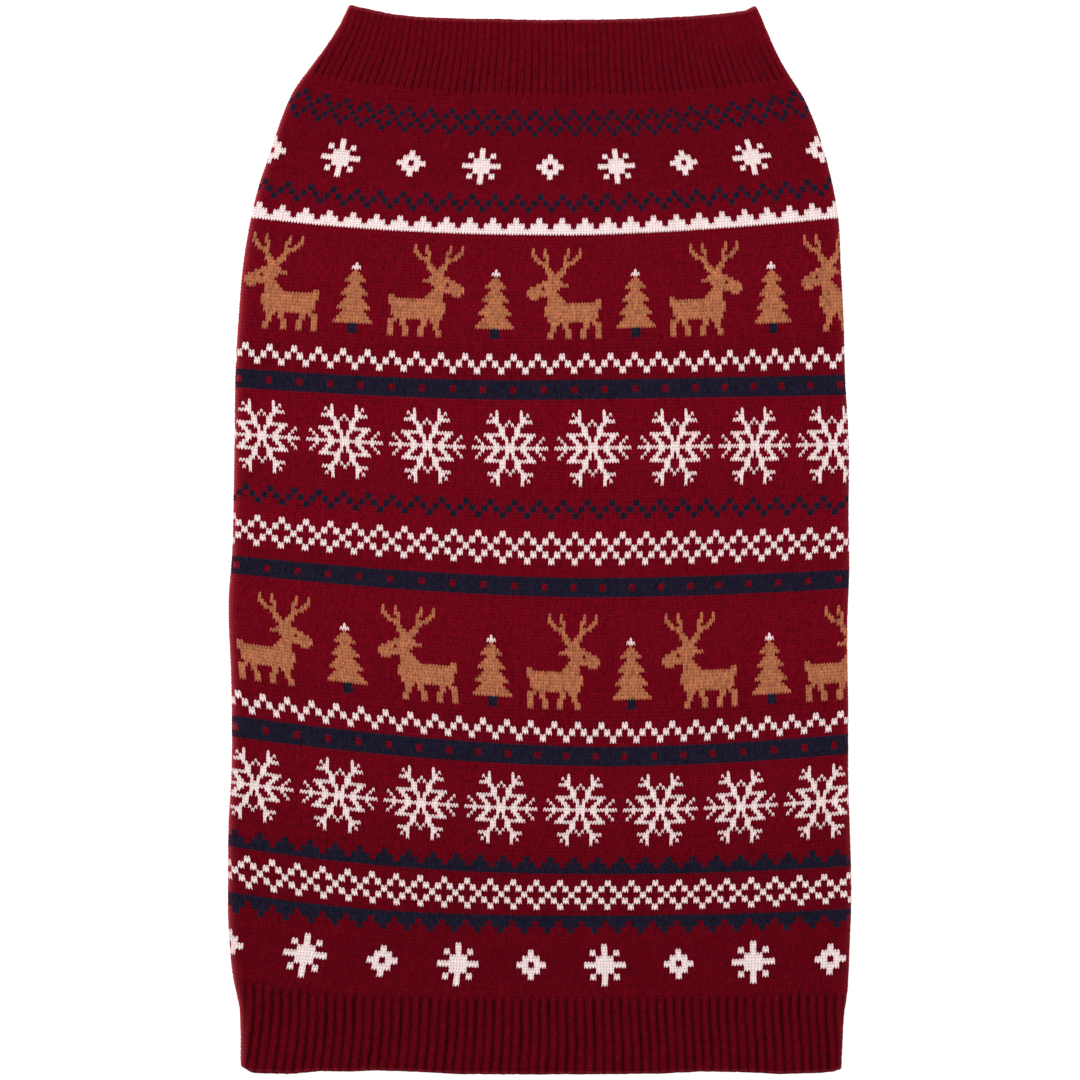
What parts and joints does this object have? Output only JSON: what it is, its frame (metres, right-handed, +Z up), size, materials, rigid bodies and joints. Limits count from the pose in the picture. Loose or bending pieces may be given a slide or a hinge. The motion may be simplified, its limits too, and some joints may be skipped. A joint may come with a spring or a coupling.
{
  "type": "dog sweater",
  "caption": "Knitted dog sweater lying flat: a banded snowflake body tube with ribbed collar and hem and leg openings underneath.",
  "frame": {"origin": "on the floor under the middle of the garment's bounding box", "axes": "+Y from the hem to the neck, +X to the right with the back of the garment up, +Z up"},
  "size_m": [0.3556, 0.6104, 0.0067],
  "materials": {
    "body_knit": "matte double knitting in deep red, off-white, navy and tan",
    "rib_knit": "matte deep red ribbing"
  },
  "bodies": {
    "root": {"back_panel": "body_knit", "belly_panel": "body_knit", "neck_rib": "rib_knit", "hem_rib": "rib_knit"}
  },
  "joints": []
}
